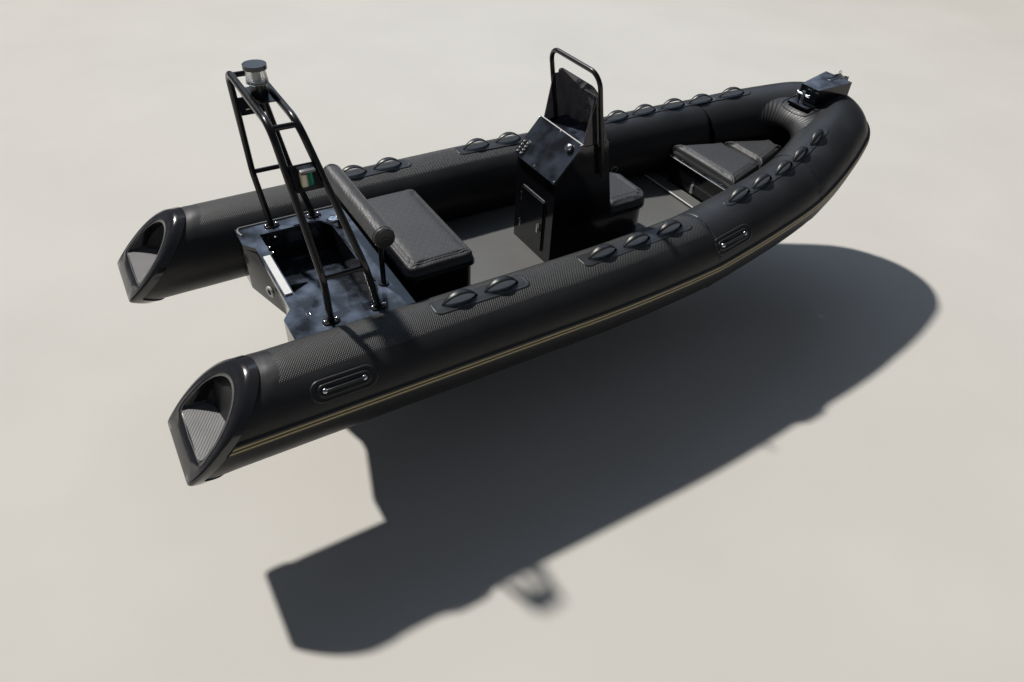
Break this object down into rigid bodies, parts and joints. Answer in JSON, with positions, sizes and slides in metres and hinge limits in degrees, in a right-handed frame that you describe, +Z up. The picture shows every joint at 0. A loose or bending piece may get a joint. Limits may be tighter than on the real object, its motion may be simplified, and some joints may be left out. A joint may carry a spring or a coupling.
{
  "type": "inflatable rib boat",
  "caption": "Rigid-hulled inflatable boat with a black buoyancy collar, centre console, seats, bow locker, light arch and a shore cradle.",
  "frame": {"origin": "on the floor under the middle of the boat's length, on its centreline", "axes": "+X to the bow, +Y to port, +Z up"},
  "size_m": [4.8312, 1.8426, 1.916],
  "materials": {
    "tube_fabric": "matte",
    "cone_plastic": "gloss",
    "pad_rubber": "matte",
    "strake_rubber": "satin",
    "stripe_gold": "satin",
    "gelcoat_black": "gloss",
    "floor_grey": "matte",
    "plate_white": "satin",
    "steel_polished": "polished",
    "arch_black": "gloss",
    "lamp_grey": "satin",
    "lens_clear": "gloss",
    "lens_red": "gloss",
    "lens_green": "gloss",
    "vinyl_charcoal": "satin",
    "screen_smoked": "gloss",
    "roller_rubber": "matte",
    "cradle_galvanised": "satin",
    "cradle_carpet": "matte"
  },
  "bodies": {
    "boat": {"cone_port": "cone_plastic", "cone_starboard": "cone_plastic", "cone_step_pads": "pad_rubber", "tube_aft_port": "tube_fabric", "tube_aft_starboard": "tube_fabric", "tube_fore_port": "tube_fabric", "tube_fore_starboard": "tube_fabric", "tube_bow": "tube_fabric", "rub_strake": "strake_rubber", "strake_stripes": "stripe_gold", "hull": "gelcoat_black", "cockpit_floor": "floor_grey", "bow_step": "floor_grey", "aft_deck": "gelcoat_black", "transom": "gelcoat_black", "motor_plate": "plate_white", "drain_rings": "steel_polished", "filler_cap": "steel_polished", "arch_aft": "arch_black", "arch_fore": "arch_black", "arch_rungs": "arch_black", "arch_flanges": "steel_polished", "arch_brackets": "arch_black", "masthead_housing": "lamp_grey", "masthead_lens": "lens_clear", "nav_housings": "lamp_grey", "nav_lens_port": "lens_red", "nav_lens_starboard": "lens_green", "backrest_roll": "vinyl_charcoal", "backrest_posts": "arch_black", "aft_seat_box": "gelcoat_black", "console_shell": "gelcoat_black", "door_hinges": "steel_polished", "dash_panel": "gelcoat_black", "windshield": "screen_smoked", "grab_rail": "arch_black", "console_seat_box": "gelcoat_black", "bow_locker": "gelcoat_black", "bow_locker_latch": "steel_polished", "bow_box": "gelcoat_black", "bow_cleat": "steel_polished", "grab_loops_port_aft": "strake_rubber", "grab_loops_port_fore": "strake_rubber", "grab_loops_starboard_aft": "strake_rubber", "grab_loops_starboard_fore": "strake_rubber", "carry_grips": "strake_rubber", "cradle_cross_members": "cradle_galvanised", "cradle_rails": "cradle_galvanised", "cradle_posts": "cradle_galvanised", "cradle_feet": "roller_rubber", "cradle_pads": "cradle_carpet"},
    "aft_seat_lid_body": {"aft_seat_lid": "gelcoat_black", "aft_seat_cushion": "vinyl_charcoal"},
    "console_door_body": {"console_door": "gelcoat_black", "door_latch": "steel_polished"},
    "console_seat_lid_body": {"console_seat_lid": "gelcoat_black", "console_seat_cushion": "vinyl_charcoal"},
    "bow_locker_lid_body": {"bow_locker_lid": "gelcoat_black", "bow_cushions": "vinyl_charcoal"},
    "anchor_roller_body": {"anchor_roller": "roller_rubber"}
  },
  "joints": [
    {"name": "aft_seat_lid_hinge", "type": "hinge", "parent": "boat", "child": "aft_seat_lid_body", "pos_m": [-1.19063, 0, 0.8977], "axis": [0, -1, 0], "range_deg": [0, 75]},
    {"name": "console_door_hinge", "type": "hinge", "parent": "boat", "child": "console_door_body", "pos_m": [-0.23212, 0.122, 0.8], "axis": [0, 0, -1], "range_deg": [0, 100]},
    {"name": "console_seat_lid_hinge", "type": "hinge", "parent": "boat", "child": "console_seat_lid_body", "pos_m": [0.51438, 0, 0.7997], "axis": [0, 1, 0], "range_deg": [0, 90]},
    {"name": "bow_locker_lid_hinge", "type": "hinge", "parent": "boat", "child": "bow_locker_lid_body", "pos_m": [1.78937, 0, 0.7757], "axis": [0, 1, 0], "range_deg": [0, 45]},
    {"name": "anchor_roller_spin", "type": "hinge", "parent": "boat", "child": "anchor_roller_body", "pos_m": [2.27436, 0, 1.236], "axis": [0, 1, 0], "continuous": true}
  ]
}
